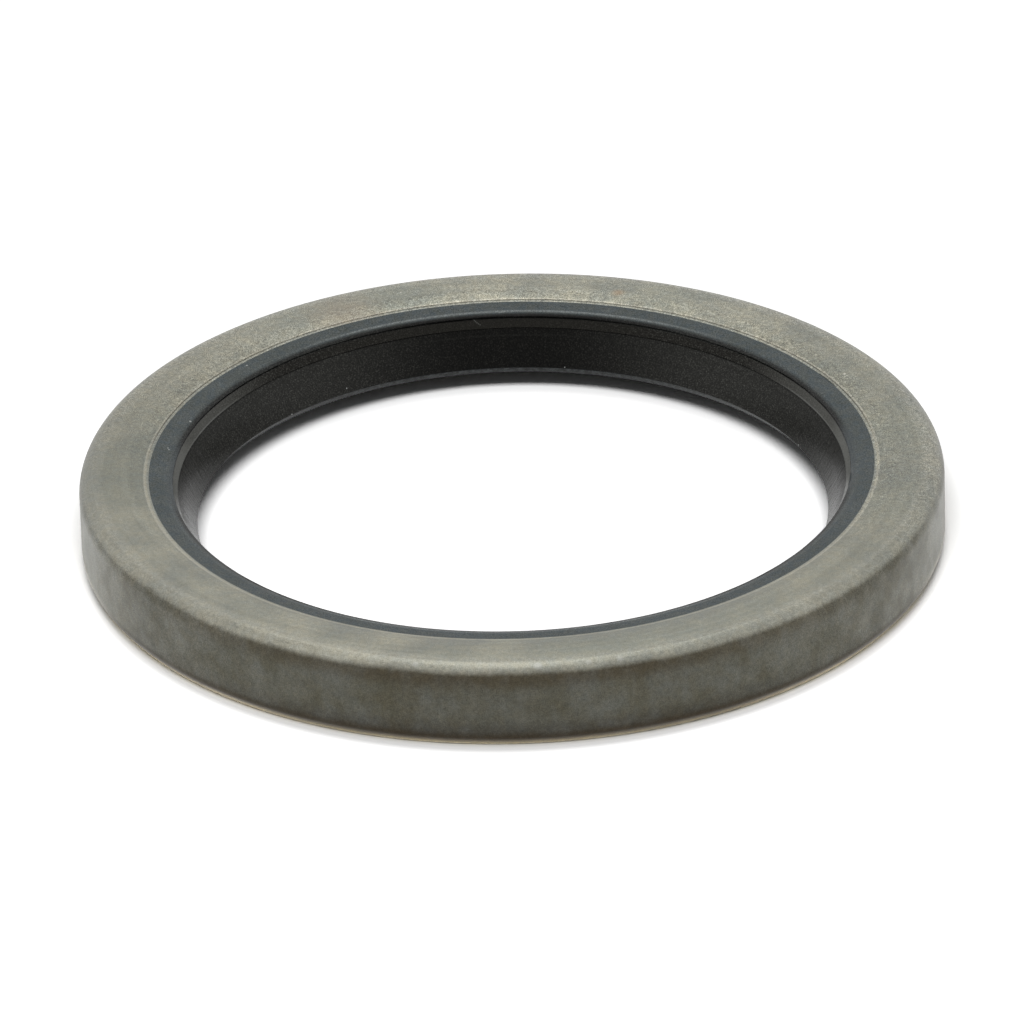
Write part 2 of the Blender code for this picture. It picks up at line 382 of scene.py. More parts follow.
flange_colour = coat(tree, flange_colour, "#bab7aa", off_rubbed_and_highlit_land, 0.13 * MM, 0.03 * MM, 0.55)
flange_colour = coat(tree, flange_colour, "#a6a49a", radius, 37.4 * MM, 38.6 * MM, 0.3)
flange_colour = coat(tree, flange_colour, "#4a4538", off_dark_groove_line, 0.07 * MM, 0.03 * MM, 0.6, open_groove)
flange_colour = coat(tree, flange_colour, "#b3af9f", off_filling, 0.15 * MM, 0.05 * MM, 0.6, filled_groove)

# The wall. It is dark in front, partly stains and partly painted shade, and painted lighter towards
# the left and right as a painted reflection. Under the bend it is painted darker and browner, low on
# the wall and above the rim it is painted darker as shade, and the rim itself is painted bright,
# partly wear and partly a painted reflection of the floor that is brightest in front.
# Painted reflection: this share runs from the dark front to the left and right, where the wall is painted
# lighter; the dark front is partly stain and partly painted shade.
clean_and_reflecting_side = add(tree, "ShaderNodeMapRange", (to_back, -0.95, -0.30), 0)
far_side = add(tree, "ShaderNodeMapRange", (to_back, -0.45, -0.20), 0, interpolation_type="SMOOTHSTEP")
upper_wall = add(tree, "ShaderNodeMapRange", (height, 4.2 * MM, 6.4 * MM), 0,
                 interpolation_type="SMOOTHSTEP")
# A share that rises towards the rim, for its wear and for its painted reflection.
rim_wear_and_reflection = add(tree, "ShaderNodeMapRange", (height, 0.85 * MM, -0.25 * MM), 0,
               interpolation_type="SMOOTHSTEP")
blotch_gain = add(tree, "ShaderNodeMapRange", (clean_and_reflecting_side, 0.2, 0.8, 0.85, 1.5), 0,
                  interpolation_type="SMOOTHSTEP")
back_fade = add(tree, "ShaderNodeMapRange", (to_back, -0.35, 0.10, 1.0, 0.4), 0,
                interpolation_type="SMOOTHSTEP")
blotch_gain = add(tree, "ShaderNodeMath", (blotch_gain, back_fade), 0, operation="MULTIPLY")
paler_side_colour = coat(tree, linear("#64645b"), "#807f75", patches, 0.33, 0.67)
pale_blotch = add(tree, "ShaderNodeMix", {
    0: clean_and_reflecting_side, 6: linear("#6c6d69"), 7: linear("#8d8c84")}, 2, data_type="RGBA")
wall_colour = coat(tree, linear("#57554a"), "#5f5f58", patches, 0.3, 0.7)
wall_colour = coat(tree, wall_colour, "#66655e", drawn_marks, 0.42, 0.7, 0.35)
# Painted shade: darker and browner just under the bend, and darker low on the wall.
wall_colour = coat(tree, wall_colour, "#4a4438", height, 5.4 * MM, 6.9 * MM, 0.8)
wall_colour = coat(tree, wall_colour, "#413f3b", height, 3.2 * MM, 1.3 * MM, 0.7)
wall_colour = add(tree, "ShaderNodeMix", {0: clean_and_reflecting_side, 6: wall_colour, 7: paler_side_colour}, 2, data_type="RGBA")
wall_colour = coat(tree, wall_colour, "#7b7b72", to_back, -0.45, -0.20)
wall_colour = coat(tree, wall_colour, "#463f2e", blotches, 0.45, 0.70, 0.22, blotch_gain)
wall_colour = coat(tree, wall_colour, pale_blotch, blotches, 0.53, 0.30, 0.22, blotch_gain)
wall_colour = coat(tree, wall_colour, "#37322a", streaks, 0.55, 0.75, 0.18, upper_wall)
# Painted shade above the rim; then the rim painted bright, partly wear and partly a painted reflection of
# the floor, near white in front, with the shade lifted at the left and right.
wall_colour = coat(tree, wall_colour, "#382f22", height, 1.80 * MM, 0.95 * MM, 0.72)
wall_colour = coat(tree, wall_colour, "#b8ac91", height, 0.85 * MM, -0.25 * MM)
wall_colour = coat(tree, wall_colour, "#dcd5c1", height, 0.26 * MM, 0.02 * MM)
wall_colour = coat(tree, wall_colour, "#fff6e2", to_back, -0.92, -0.70, 0.75, rim_wear_and_reflection)
wall_colour = coat(tree, wall_colour, "#a9a69c", height, 1.9 * MM, 1.2 * MM, 1.0, far_side)

# Flange and wall meet half way round the bend, at a line that the grain and the patches fray.
edge_wander = add(tree, "ShaderNodeMath", (coarse_grain, 0.1 * MM, -0.05 * MM), 0,
                  operation="MULTIPLY_ADD")
patch_wander = add(tree, "ShaderNodeMath", (patches, 0.3 * MM, -0.15 * MM), 0, operation="MULTIPLY_ADD")
edge_wander = add(tree, "ShaderNodeMath", (edge_wander, patch_wander), 0, operation="ADD")
frayed_height = add(tree, "ShaderNodeMath", (height, edge_wander), 0, operation="ADD")
wall_share = add(tree, "ShaderNodeMapRange", (frayed_height, 7.68 * MM, 7.10 * MM), 0,
                 interpolation_type="SMOOTHSTEP")
flange_share = add(tree, "ShaderNodeMapRange", (wall_share, 1.0, 0.0), 0, interpolation_type="SMOOTHSTEP")
colour = add(tree, "ShaderNodeMix", {0: wall_share, 6: flange_colour, 7: wall_colour}, 2, data_type="RGBA")

# The grain. It is crisp on the back of the flange and on the paler side of the wall, soft in front.
# On the back of the flange its lightest specks are painted glints.
hue = coat(tree, linear("#f0f7ff"), "#fff8ea", hue_grain, 0.35, 0.65)
colour = add(tree, "ShaderNodeMix", {0: 0.24, 6: colour, 7: hue}, 2, data_type="RGBA", blend_type="MULTIPLY")
colour = grained(tree, colour, coarse_grain, 0.25, 0.75, 0.82, 1.18)
colour = grained(tree, colour, grain, 0.25, 0.75, 0.70, 1.32)
paler_side_wall = add(tree, "ShaderNodeMath", (clean_and_reflecting_side, wall_share), 0, operation="MULTIPLY")
crisp_wall = grained(tree, colour, grain, 0.3, 0.7, 0.72, 1.30)
colour = add(tree, "ShaderNodeMix", {0: paler_side_wall, 6: colour, 7: crisp_wall}, 2, data_type="RGBA")
right_of_back = add(tree, "ShaderNodeMath", (to_right, 0.3, to_back), 0, operation="MULTIPLY_ADD")
crisp_side = add(tree, "ShaderNodeMapRange", (right_of_back, -0.40, 0.25), 0,
                 interpolation_type="SMOOTHSTEP")
crisp_flange = add(tree, "ShaderNodeMath", (crisp_side, flange_share), 0, operation="MULTIPLY")
blasted_grain_and_glints = grained(tree, colour, coarse_grain, 0.30, 0.70, 0.86, 1.15)
blasted_grain_and_glints = grained(tree, blasted_grain_and_glints, grain, 0.30, 0.70, 0.52, 1.55)
# Painted glints: the lightest specks of the grain are painted near white.
blasted_grain_and_glints = coat(tree, blasted_grain_and_glints, "#e2dfd4", grain, 0.68, 0.78, 0.6)
colour = add(tree, "ShaderNodeMix", {0: crisp_flange, 6: colour, 7: blasted_grain_and_glints}, 2, data_type="RGBA")
colour = grained(tree, colour, tool_rings, 0.3, 0.7, 0.97, 1.03)
colour = grained(tree, colour, wide_rings, 0.3, 0.7, 0.92, 1.07)

# The flange is painted darker at its left and right, a painted shade where the light falls off. The
# far left is a little lighter in front and darker behind.
to_side = add(tree, "ShaderNodeMath", (to_right,), 0, operation="ABSOLUTE")
flange_side = add(tree, "ShaderNodeMath", (to_side, flange_share), 0, operation="MULTIPLY")
painted_side_shade = add(tree, "ShaderNodeMapRange", (flange_side, 0.45, 0.95, 1.0, 0.86), 0,
              interpolation_type="SMOOTHSTEP")
colour = brighten(tree, colour, painted_side_shade)
left = add(tree, "ShaderNodeMapRange", (to_right, -0.50, -0.95), 0, interpolation_type="SMOOTHSTEP")
left_gain = add(tree, "ShaderNodeMapRange", (to_back, -0.35, 0.10, 0.06, -0.08), 0,
                interpolation_type="SMOOTHSTEP")
colour = brighten(tree, colour, add(
    tree, "ShaderNodeMath", (left, left_gain, 1.0), 0, operation="MULTIPLY_ADD"))

# Small marks, each with its angle, radius, height, size, core, strength and shade: a rust spot, an
# old oil stain, four painted glints on the flange and four painted highlight flecks on the
# front of the bend.
for one_mark in (
        (72.7, 35.71, 7.99, 0.9, 0.05, 0.30, "#ae8048"),
        (116.0, 35.6, 8.0, 5.5, 0.1, 0.25, "#94806c"),
        (26.7, 35.2, 8.0, 0.17, 0.3, 0.75, "#dcd9ce"),
        (98.3, 36.8, 8.0, 0.12, 0.3, 0.75, "#dcd9ce"),
        (105.9, 36.8, 8.0, 0.12, 0.3, 0.75, "#dcd9ce"),
        (79.0, 35.2, 8.0, 0.13, 0.3, 0.75, "#dcd9ce"),
        (-87.3, 39.15, 7.78, 0.55, 0.2, 0.28, "#bfbfbb"),
        (-80.6, 39.15, 7.78, 0.45, 0.2, 0.28, "#bfbfbb"),
        (-76.4, 39.15, 7.78, 0.5, 0.2, 0.28, "#bfbfbb"),
        (-103.4, 39.15, 7.78, 0.4, 0.2, 0.28, "#bfbfbb")):
    colour = mark(tree, colour, place, *one_mark)

# Roughness follows the patches and the grain, and the bend is burnished by the drawing die.
surface = add(tree, "ShaderNodeMapRange", (patches, 0.3, 0.7, 0.38, 0.46), 0)
grain_roughness = add(tree, "ShaderNodeMapRange", (coarse_grain, 0.3, 0.7, -0.04, 0.04), 0)
burnish = add(tree, "ShaderNodeMapRange", (radius, 37.4 * MM, 38.6 * MM, 0.0, -0.07), 0,
              interpolation_type="SMOOTHSTEP")
surface = add(tree, "ShaderNodeMath", (surface, grain_roughness), 0, operation="ADD")
surface = add(tree, "ShaderNodeMath", (surface, burnish), 0, operation="ADD")
relief = add(tree, "ShaderNodeMath", (grain, 0.5, coarse_grain), 0, operation="MULTIPLY_ADD")
bump = add(tree, "ShaderNodeBump", {"Height": relief, "Strength": 0.35, "Distance": 0.02 * MM}, "Normal")
shader = add(tree, "ShaderNodeBsdfPrincipled", {
    "Base Color": colour, "Metallic": 1.0, "Roughness": surface, "Normal": bump}, "BSDF")
add(tree, "ShaderNodeOutputMaterial", {"Surface": shader})
steel_case.data.materials.append(steel)
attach(steel_case, "root")
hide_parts("outer_case")


# Sealing lip. Rubber moulded in one shot round the hole of the flange and bonded to it: a
# sloping ring beside the steel, a cone down to the sealing edge, and behind it the groove
# of the spring. A thin skin runs out under the flange.

lip_low, lip_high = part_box("sealing_lip")
spring_low, spring_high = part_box("garter_spring")
HOLE_HEIGHT = dish_height(HOLE_RADIUS)
MOULD_HEIGHT = FLANGE_HEIGHT - 0.3 * MM
LIP_RADIUS = 29.2 * MM
LIP_HEIGHT = MOULD_HEIGHT - 4.9 * MM
AIR_FACE = radians(28.8)
OIL_FACE = radians(38.0)
STEP_HEIGHT = MOULD_HEIGHT - 1.62 * MM
STEP_RELIEF = 0.11 * MM
BAND_ANGLE = radians(27.0)
BAND_HEIGHT = 0.87 * MM
NOTCH_WIDTH = 0.16 * MM
NOTCH_DEPTH = 0.14 * MM
RIM_HEIGHT = MOULD_HEIGHT - 0.51 * MM
CREST_RADIUS = 32.0 * MM
CREST_HEIGHT = MOULD_HEIGHT - 0.30 * MM
SKIN_THICKNESS = 1.0 * MM
NECK_THICKNESS = 1.1 * MM
NECK_FOOT_RISE = 0.2 * MM
LAND_HEIGHT = 0.3 * MM
BEAD_REACH = 0.45 * MM
NOSE_SETBACK = 0.14 * MM
SPRING_PLAY = 0.02 * MM
MOUTH_PLAY = 0.25 * MM
GROOVE_MOUTH = radians(15.0)
GROOVE_STEPS = 20
LIP_SHARP_ANGLE = radians(25)


def air_face(height):
    """Radius of the cone between the sealing edge and the band, at a height."""
    return LIP_RADIUS + (height - LIP_HEIGHT) * tan(AIR_FACE)


skin_top = FLANGE_HEIGHT - SHEET
skin_bottom = skin_top - SKIN_THICKNESS
coil_radius = (spring_high.z - spring_low.z) / 2
spring_height = (spring_high.z + spring_low.z) / 2
spring_radius = spring_high.x - coil_radius
groove_radius = coil_radius + SPRING_PLAY
neck = NECK_THICKNESS / cos(AIR_FACE)
mouth_height = (coil_radius + MOUTH_PLAY) * cos(GROOVE_MOUTH)
bead_radius = spring_radius + BEAD_REACH
land_top = spring_height + mouth_height + LAND_HEIGHT
neck_foot = land_top + NECK_FOOT_RISE
nose_radius = LIP_RADIUS + (LIP_HEIGHT - lip_low.z) * tan(OIL_FACE)
cone_top = air_face(STEP_HEIGHT)
band_foot = cone_top - STEP_RELIEF
band_top = band_foot + BAND_HEIGHT * tan(BAND_ANGLE)
notch_height = STEP_HEIGHT + BAND_HEIGHT
notch_middle = notch_height + NOTCH_WIDTH / 2

skin_corner = (lip_high.x, skin_bottom)
neck_corner = (air_face(skin_bottom) + neck, skin_bottom)
shoulder_tip = (bead_radius, land_top)
bead_tip = (bead_radius, spring_height - mouth_height)
nose_outer = (bead_radius - NOSE_SETBACK, lip_low.z)
nose_inner = (nose_radius, lip_low.z)
sealing_edge = (LIP_RADIUS, LIP_HEIGHT)
band_foot_corner = (band_foot, STEP_HEIGHT + STEP_RELIEF)
notch_low = (band_top, notch_height)
notch_deep = (band_top + NOTCH_DEPTH, notch_middle)
notch_high = (band_top, notch_height + NOTCH_WIDTH)
rubber_rim = (band_top, RIM_HEIGHT)
ring_crest = (CREST_RADIUS, CREST_HEIGHT)
ring_top = (HOLE_RADIUS, HOLE_HEIGHT)

groove_corners = []
for step in range(GROOVE_STEPS + 1):
    angle = GROOVE_MOUTH - (pi + 2 * GROOVE_MOUTH) * step / GROOVE_STEPS
    groove_corners.append((
        spring_radius + groove_radius * sin(angle), spring_height + groove_radius * cos(angle)))

lip_corners = [ring_top] + dished(HOLE_RADIUS, SHEET)
lip_corners += [(lip_high.x, skin_top), skin_corner, neck_corner]
lip_corners += [(air_face(neck_foot) + neck, neck_foot), shoulder_tip]
lip_corners += [(bead_radius, spring_height + mouth_height)] + groove_corners
lip_corners += [bead_tip, nose_outer, nose_inner, sealing_edge, (cone_top, STEP_HEIGHT)]
lip_corners += [band_foot_corner, notch_low, notch_deep, notch_high, rubber_rim, ring_crest]

rubber_lip = start_ring("rubber_lip", *ring_top)
draw_section(lip_corners)
close_section(rubber_lip, ring_top, ring_crest)
for corner, round_mm, turn, segments in (
        (skin_corner, 0.2, radians(90), 4), (neck_corner, 0.5, radians(60), 5),
        (ring_crest, 1.2, radians(9), 4), (rubber_rim, 0.09, radians(68), 6),
        (sealing_edge, 0.03, radians(67), 2)):
    round_corner(rubber_lip, corner, round_mm * MM, turn, segments)
finish_turning(rubber_lip, LIP_SHARP_ANGLE)

# The parting line under the rim is trimmed by hand: its crevice wanders, and is shut at the right.
SHUT_ARC = (-12.0, -1.0, 2.0)
SHUT_DEPTH = 0.11 * MM
LINE_WANDER = 0.03 * MM
LINE_WANDER_UP = 0.025 * MM
CREVICE_WANDER = 0.05 * MM
for vertex in rubber_lip.data.vertices:
    radius = vertex.co.xy.length
    angle = degrees(atan2(vertex.co.y, vertex.co.x))
    wander = ragged_at(angle, (0.22, 0.0, 5.0), (1.1, 2.0, 5.0))
    if vertex.co.z > notch_height - VERTEX_REACH and radius < band_top + NOTCH_DEPTH + 2 * VERTEX_REACH:
        deep = max(0.0, radius - band_top) / NOTCH_DEPTH
        shut = arc_share(angle, *SHUT_ARC)
        outward = LINE_WANDER * wander + (CREVICE_WANDER * wander - SHUT_DEPTH * shut) * deep
        turned_to(vertex, radius + outward, vertex.co.z + LINE_WANDER_UP * wander)

# Black nitrile rubber. The ring beside the steel has a matte blue-grey bloom; the cone is deep
# black and smoother, and so shows the floor at its edge; the band above it is matt. The pores are
# drawn at 0.12 mm, coarser than real ones, so that they show in the render.
rubber, tree, place = new_finish("moulded_nitrile_rubber")
radius, height, direction, to_right, _ = around(tree, place)
pores, texture, mottle, smears = grains(tree, place, (
    (0.12, 1.0, 2.0, 0.6), (0.45, 1.0, 3.0, 0.6), (0.7, 1.0, 2.0, 0.5), (4.0, 1.0, 3.0, 0.55)))
to_side = add(tree, "ShaderNodeMath", (to_right,), 0, operation="ABSOLUTE")

# The band, painted pale at the far left and right as a reflection, with a painted highlight on its
# ridge and painted shade under the ledge at its foot.
ridge_side = add(tree, "ShaderNodeMapRange", (to_side, 0.78, 0.93), 0, interpolation_type="SMOOTHSTEP")
ledge_side = add(tree, "ShaderNodeMapRange", (to_side, 0.92, 0.75), 0, interpolation_type="SMOOTHSTEP")
off_ridge = off_line(tree, height, STEP_HEIGHT + 0.16 * MM)
off_ledge = off_line(tree, height, STEP_HEIGHT + 0.05 * MM)
band = coat(tree, linear("#1f1e1b"), "#5a5a56", to_side, 0.68, 0.98, 0.9)
band = coat(tree, band, "#80817d", to_side, 0.95, 0.995, 0.9)
band = coat(tree, band, "#747572", off_ridge, 0.10 * MM, 0.03 * MM, 0.7, ridge_side)
band = coat(tree, band, "#0d0d0c", off_ledge, 0.12 * MM, 0.04 * MM, 0.4, ledge_side)

# The low wall above the band, painted lighter at the left and right as a reflection, with the black
# parting line in it painted as the shade in its crevice.
notch_side = add(tree, "ShaderNodeMapRange", (to_side, 0.60, 0.78, 0.1, 1.0), 0,
                 interpolation_type="SMOOTHSTEP")
near_side = add(tree, "ShaderNodeMapRange", (to_side, 0.965, 0.998, 1.0, 0.0), 0,
                interpolation_type="SMOOTHSTEP")
notch_shown = add(tree, "ShaderNodeMath", (notch_side, near_side), 0, operation="MULTIPLY")
off_notch = off_line(tree, height, notch_middle)
rim_wall = coat(tree, linear("#0f0f0e"), "#272827", to_side, 0.15, 0.60)
rim_wall = coat(tree, rim_wall, "#4d5355", to_side, 0.965, 0.998)
rim_wall = coat(tree, rim_wall, "#020202", off_notch, 0.10 * MM, 0.06 * MM, 1.0, notch_shown)
band = coat(tree, band, rim_wall, height, notch_height - 0.04 * MM, notch_height + 0.02 * MM)

# The cone, painted lighter towards its left and right as a sheen, with painted glints on its fine
# pores, and the streaked grey face on its oil side, partly a painted reflection of the floor.
streaked = add(tree, "ShaderNodeMapRange", (texture, 0.35, 0.65, 0.35, 1.0), 0,
               interpolation_type="SMOOTHSTEP")
sparkle = coat(tree, linear("#2e2d2a"), "#5a5a56", to_side, 0.10, 0.75)
cone = coat(tree, linear("#0b0b0a"), "#2e2e2c", to_side, 0.10, 0.75)
colour = coat(tree, cone, band, height, STEP_HEIGHT - 0.08 * MM, STEP_HEIGHT + 0.08 * MM)
colour = coat(tree, colour, sparkle, pores, 0.48, 0.72, 0.50)
colour = coat(tree, colour, "#575b5c", height, LIP_HEIGHT - 0.02 * MM, LIP_HEIGHT - 0.12 * MM, 1.0, streaked)

# The bloom on the ring, mottled warm and blue, with a painted highlight along the crest at the front
# and back.
BLOOM_START = RIM_HEIGHT + 0.04 * MM
BLOOM_FULL = RIM_HEIGHT + 0.21 * MM
crest_side = add(tree, "ShaderNodeMapRange", (to_side, 0.75, 0.35), 0, interpolation_type="SMOOTHSTEP")
off_crest = off_line(tree, radius, CREST_RADIUS)
bloom_with_crest_highlight = coat(tree, linear("#515655"), "#595e5e", smears, 0.3, 0.7)
bloom_with_crest_highlight = coat(tree, bloom_with_crest_highlight, "#575a55", mottle, 0.40, 0.70, 0.32)
bloom_with_crest_highlight = coat(tree, bloom_with_crest_highlight, "#434f57", mottle, 0.58, 0.32, 0.32)
bloom_with_crest_highlight = coat(tree, bloom_with_crest_highlight, "#787d7d", off_crest, 0.24 * MM, 0.03 * MM, 0.85, crest_side)
colour = coat(tree, colour, bloom_with_crest_highlight, height, BLOOM_START, BLOOM_FULL)
colour = coat(tree, colour, "#242422", off_line(tree, height, 5.5 * MM), 0.12 * MM, 0.03 * MM, 0.25)
colour = grained(tree, colour, pores, 0.25, 0.75, 0.60, 1.40)
colour = grained(tree, colour, texture, 0.25, 0.75, 0.93, 1.07)
chalky = grained(tree, colour, pores, 0.3, 0.7, 0.78, 1.22)
colour = coat(tree, colour, chalky, height, BLOOM_START, BLOOM_FULL)

# Specks of dust on the ring and at the sealing edge, a fibre of lint that lies up the band at the
# back, and a scuff on the crest beside it.
DUST = (0.6, 0.75, "#b9bcba")
LINT = (0.10, 0.2, 0.24, "#8f918d")
SCUFF = (0.2, 0.5, "#8e9290")
for angle, radius_mm, height_mm, size_mm in (
        (138.3, 33.00, 7.56, 0.12), (159.5, 31.85, 7.36, 0.14), (104.0, 32.6, 7.52, 0.07),
        (170.3, 32.20, 7.43, 0.10), (169.8, 32.35, 7.46, 0.10), (79.5, 29.22, 2.9, 0.07),
        (134.7, 29.22, 2.80, 0.10), (23.1, 29.24, 2.86, 0.09), (121.5, 29.42, 3.2, 0.07)):
    colour = mark(tree, colour, place, angle, radius_mm, height_mm, size_mm, *DUST)
for angle, height_mm in (
        (95.86, 7.04), (95.72, 6.92), (95.52, 6.81), (95.30, 6.71), (95.05, 6.61), (94.78, 6.52)):
    on_band = band_foot / MM + (height_mm - STEP_HEIGHT / MM) * tan(BAND_ANGLE)
    colour = mark(tree, colour, place, angle, on_band, height_mm, *LINT)
for angle, radius_mm, size_mm in (
        (91.3, 31.85, 0.16), (90.9, 31.9, 0.18), (90.5, 31.95, 0.14), (92.0, 32.1, 0.1)):
    colour = mark(tree, colour, place, angle, radius_mm, 7.36, size_mm, *SCUFF)

# Roughness: dull bloom, smoother cone with fine streaks down it from the mould, polished crest.
streak_height = add(tree, "ShaderNodeMath", (height, 1 / (3.0 * MM)), 0, operation="MULTIPLY")
streak_place = add(tree, "ShaderNodeCombineXYZ", (0.0, 0.0, streak_height), 0)
fine_streaks = lines_round(tree, direction, 70.0, streak_place, 0.6)
on_cone = add(tree, "ShaderNodeMapRange", (
    height, STEP_HEIGHT - 0.08 * MM, STEP_HEIGHT + 0.08 * MM, 1.0, 0.0), 0, interpolation_type="SMOOTHSTEP")
streak_roughness = add(tree, "ShaderNodeMapRange", (fine_streaks, 0.3, 0.7, -0.04, 0.06), 0)
upper_cone = add(tree, "ShaderNodeMapRange", (height, 4.0 * MM, 5.6 * MM, 0.0, 0.12), 0,
                 interpolation_type="SMOOTHSTEP")
crest = add(tree, "ShaderNodeMapRange", (off_line(tree, radius, 31.95 * MM), 0.22 * MM, 0.05 * MM), 0,
            interpolation_type="SMOOTHSTEP")
texture_roughness = add(tree, "ShaderNodeMapRange", (texture, 0.3, 0.7, -0.04, 0.04), 0)
surface = add(tree, "ShaderNodeMapRange", (height, BLOOM_START, BLOOM_FULL, 0.18, 0.46), 0,
              interpolation_type="SMOOTHSTEP")
for share, gain in (
        (on_cone, streak_roughness), (on_cone, upper_cone), (crest, -0.22), (texture_roughness, 1.0)):
    surface = add(tree, "ShaderNodeMath", (share, gain, surface), 0, operation="MULTIPLY_ADD")

# Relief: pores and texture, rubbed flat on the crest, and the mould's streaks on the cone.
relief = add(tree, "ShaderNodeMath", (pores, 0.6, texture), 0, operation="MULTIPLY_ADD")
flattened = add(tree, "ShaderNodeMath", (crest, -0.85, 1.0), 0, operation="MULTIPLY_ADD")
relief = add(tree, "ShaderNodeMath", (relief, flattened), 0, operation="MULTIPLY")
moulded_lines = add(tree, "ShaderNodeMath", (fine_streaks, 6.5), 0, operation="MULTIPLY")
relief = add(tree, "ShaderNodeMath", (on_cone, moulded_lines, relief), 0, operation="MULTIPLY_ADD")
bump = add(tree, "ShaderNodeBump", {"Height": relief, "Strength": 0.35, "Distance": 0.015 * MM}, "Normal")
shader = add(tree, "ShaderNodeBsdfPrincipled", {
    "Base Color": colour, "Roughness": surface, "Specular IOR Level": 0.06,
    "Sheen Weight": 0.04, "Sheen Roughness": 0.35, "Normal": bump}, "BSDF")
add(tree, "ShaderNodeOutputMaterial", {"Surface": shader})
rubber_lip.data.materials.append(rubber)
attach(rubber_lip, "root")
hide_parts("sealing_lip")


# Garter spring. A close coil of 0.38 mm drawn spring wire, wound 1.7 mm thick and hooked into
# itself as a ring. It lies in the groove behind the sealing edge and presses the lip to the shaft.

WIRE_RADIUS = 0.19 * MM
WIRE_SIDES = 8
TURN_PITCH = 2.02 * WIRE_RADIUS
COIL_STEPS = 12
WELD_REACH = 0.002 * MM
WIRE_SHARP_ANGLE = radians(60)
ring_length = 2 * pi * spring_radius
coil_turns = round(ring_length / TURN_PITCH)
bpy.ops.object.select_all(action="DESELECT")
bpy.ops.mesh.primitive_circle_add(
    vertices=WIRE_SIDES, radius=WIRE_RADIUS, location=(0, coil_radius - WIRE_RADIUS, 0))
wire_coil = bpy.context.object
wire_coil.name = "wire_coil"
bpy.ops.object.transform_apply(location=True, rotation=True, scale=True)
winding = wire_coil.modifiers.new("Winding", "SCREW")
winding.axis = "X"
winding.screw_offset = ring_length / coil_turns
winding.iterations = coil_turns
winding.steps = COIL_STEPS
winding.render_steps = COIL_STEPS
bpy.ops.object.modifier_apply(modifier=winding.name)
for vertex in wire_coil.data.vertices:
    turn = 2 * pi * vertex.co.x / ring_length
    away = spring_radius + vertex.co.y
    vertex.co = (away * cos(turn), away * sin(turn), spring_height + vertex.co.z)
bpy.ops.object.mode_set(mode="EDIT")
bpy.ops.mesh.select_all(action="SELECT")
bpy.ops.mesh.remove_doubles(threshold=WELD_REACH)
finish_turning(wire_coil, WIRE_SHARP_ANGLE)

# Bright drawn spring wire with a light oil film: each turn shows a clean highlight.
wire, tree, place = new_finish("drawn_spring_wire")
dullness, = grains(tree, place, ((3.0, 1.0, 3.0, 0.6),))
colour = add(tree, "ShaderNodeMix", {
    0: dullness, 6: linear("#b5b3ad"), 7: linear("#8e8a80")}, 2, data_type="RGBA")
surface = add(tree, "ShaderNodeMapRange", (dullness, 0.3, 0.7, 0.22, 0.34), 0)
shader = add(tree, "ShaderNodeBsdfPrincipled", {
    "Base Color": colour, "Metallic": 1.0, "Roughness": surface}, "BSDF")
add(tree, "ShaderNodeOutputMaterial", {"Surface": shader})
wire_coil.data.materials.append(wire)
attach(wire_coil, "root")
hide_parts("garter_spring")


# Studio. A white floor, a soft lamp above and in front for the shadow, and a large soft box high
# behind the seal for the light along its bend. The camera looks from the photo's viewing angle.

CAMERA_DISTANCE = 1.0
CAMERA_ELEVATION = radians(27.87)
CAMERA_ROLL = radians(-1.648)
FOCAL_PIXELS = 10783.0
IMAGE_PIXELS = 1024
SENSOR_MM = 36.0
ORIGIN_IN_PHOTO = (513.51, 537.80)

towards_camera = Vector((0, -cos(CAMERA_ELEVATION), sin(CAMERA_ELEVATION)))
sideways = Vector((1, 0, 0))
upwards = Vector((0, sin(CAMERA_ELEVATION), cos(CAMERA_ELEVATION)))
rolled = Matrix.Rotation(CAMERA_ROLL, 3, towards_camera)
turned = Matrix((sideways, upwards, towards_camera)).transposed()
camera_turn = rolled @ turned
aim_right = (IMAGE_PIXELS / 2 - ORIGIN_IN_PHOTO[0]) / FOCAL_PIXELS
aim_up = (ORIGIN_IN_PHOTO[1] - IMAGE_PIXELS / 2) / FOCAL_PIXELS
eye = towards_camera + camera_turn.col[0] * aim_right + camera_turn.col[1] * aim_up
bpy.ops.object.camera_add(location=(0, 0, 0))
camera = bpy.context.object
camera.data.sensor_width = SENSOR_MM
camera.data.lens = FOCAL_PIXELS * SENSOR_MM / IMAGE_PIXELS
camera.data.clip_start = 0.1
camera.data.clip_end = 20.0
camera.matrix_world = Matrix.Translation(eye * CAMERA_DISTANCE) @ camera_turn.to_4x4()
bpy.context.scene.camera = camera

# The world is white where it is seen or mirrored, and gives only a little light to the seal.
WORLD_LIGHT = 0.12
world = bpy.data.worlds.new("studio")
bpy.context.scene.world = world
world.use_nodes = True
tree = world.node_tree
tree.nodes.clear()
ray = add(tree, "ShaderNodeLightPath").outputs
seen = add(tree, "ShaderNodeMath", (ray["Is Camera Ray"], ray["Is Glossy Ray"]), 0, operation="MAXIMUM")
seen = add(tree, "ShaderNodeMath", (seen, ray["Is Transmission Ray"]), 0, operation="MAXIMUM")
level = add(tree, "ShaderNodeMix", {0: seen, 2: WORLD_LIGHT, 3: 1.0}, 0)
sky = add(tree, "ShaderNodeBackground", {"Color": (1, 1, 1, 1), "Strength": level}, "Background")
add(tree, "ShaderNodeOutputWorld", {"Surface": sky})

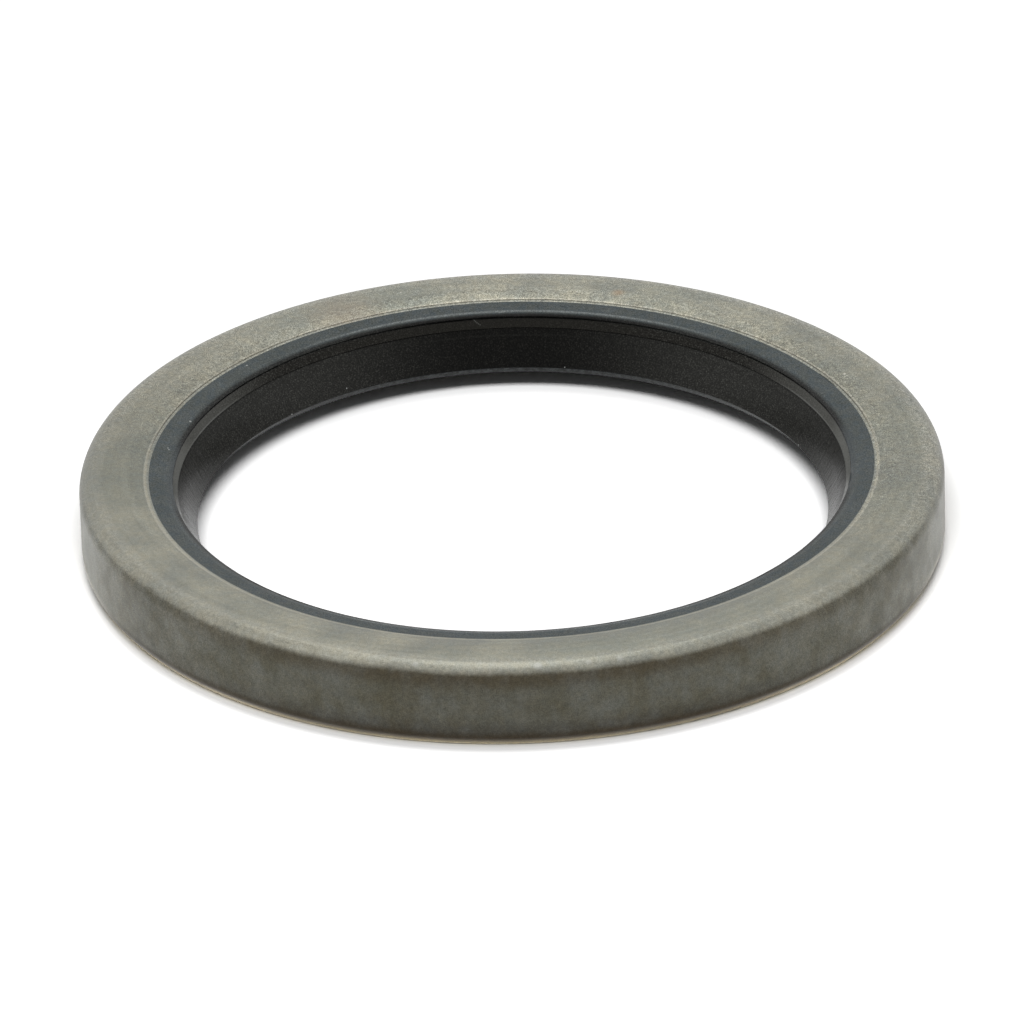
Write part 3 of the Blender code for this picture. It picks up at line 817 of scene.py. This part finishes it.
# The floor is white to the camera and greyer as a source of light. It is clear from below, so that
# the underside can be seen, and a faint grey strip of painted shadow lies in front of the seal.
FLOOR_DROP = 0.02 * MM
FLOOR_GREY = (0.6, 0.6, 0.6, 1)
FLOOR_WHITE = (1.50, 1.50, 1.50, 1)
FLOOR_MIRRORED = (1.2, 1.2, 1.2, 1)
STRIP_CENTRE = (0, -0.8 * MM, 0)
STRIP_DARKNESS = -0.42
INNER_STRIP_GAIN = 0.3
bpy.ops.mesh.primitive_plane_add(size=8.0, location=(0, 0, -FLOOR_DROP))
floor = bpy.context.object
floor.name = "floor"
white, tree, place = new_finish("white_studio_floor")
ray = add(tree, "ShaderNodeLightPath").outputs
tone = add(tree, "ShaderNodeMix", {0: ray["Is Camera Ray"], 6: FLOOR_GREY, 7: FLOOR_WHITE}, 2,
           data_type="RGBA")
tone = add(tree, "ShaderNodeMix", {0: ray["Is Glossy Ray"], 6: tone, 7: FLOOR_MIRRORED}, 2,
           data_type="RGBA")
from_centre = add(tree, "ShaderNodeVectorMath", (place, STRIP_CENTRE), "Value", operation="DISTANCE")
strip_edges = []
# Painted shadow: a grey strip along the foot of the seal that only the camera sees.
for start, full, strength in (
        (40.55 * MM, 39.3 * MM, 1.0), (34 * MM, 36 * MM, 1.0), (39.2 * MM, 38.5 * MM, INNER_STRIP_GAIN)):
    strip_edges.append(add(tree, "ShaderNodeMapRange", (from_centre, start, full, 0.0, strength), 0,
                           interpolation_type="SMOOTHSTEP"))
outer_edge, inner_edge, inner_strip = strip_edges
strip = add(tree, "ShaderNodeMath", (outer_edge, inner_edge), 0, operation="MULTIPLY")
strip = add(tree, "ShaderNodeMath", (inner_strip, strip, strip), 0, operation="MULTIPLY_ADD")
strip = add(tree, "ShaderNodeMath", (strip, ray["Is Camera Ray"]), 0, operation="MULTIPLY")
shade = add(tree, "ShaderNodeMath", (strip, STRIP_DARKNESS, 1.0), 0, operation="MULTIPLY_ADD")
matte = add(tree, "ShaderNodeBsdfDiffuse", {"Color": brighten(tree, tone, shade)}, "BSDF")
below = add(tree, "ShaderNodeNewGeometry", out="Backfacing")
clear = add(tree, "ShaderNodeBsdfTransparent", out="BSDF")
cover = add(tree, "ShaderNodeMixShader", (below, matte, clear), 0)
add(tree, "ShaderNodeOutputMaterial", {"Surface": cover})
floor.data.materials.append(white)


def hang_lamp(place, width, depth, energy):
    """A soft rectangular lamp that faces the seal."""
    bpy.ops.object.light_add(type="AREA", location=place)
    lamp = bpy.context.object
    lamp.data.shape = "RECTANGLE"
    lamp.data.size = width
    lamp.data.size_y = depth
    lamp.data.energy = energy
    lamp.rotation_euler = (-Vector(place)).to_track_quat("-Z", "Y").to_euler()
    return lamp


key_lamp = hang_lamp((-0.06, -0.83, 1.24), 0.8, 0.34, 15.0)
key_lamp.visible_glossy = False
top_lamp = hang_lamp((0.0, -0.2, 1.5), 1.0, 0.6, 3.2)
top_lamp.visible_glossy = False
soft_box = hang_lamp((0.0, 1.00, 2.70), 0.6, 2.5, 7.3)
soft_box.visible_diffuse = False

bpy.context.scene.view_settings.view_transform = "Standard"
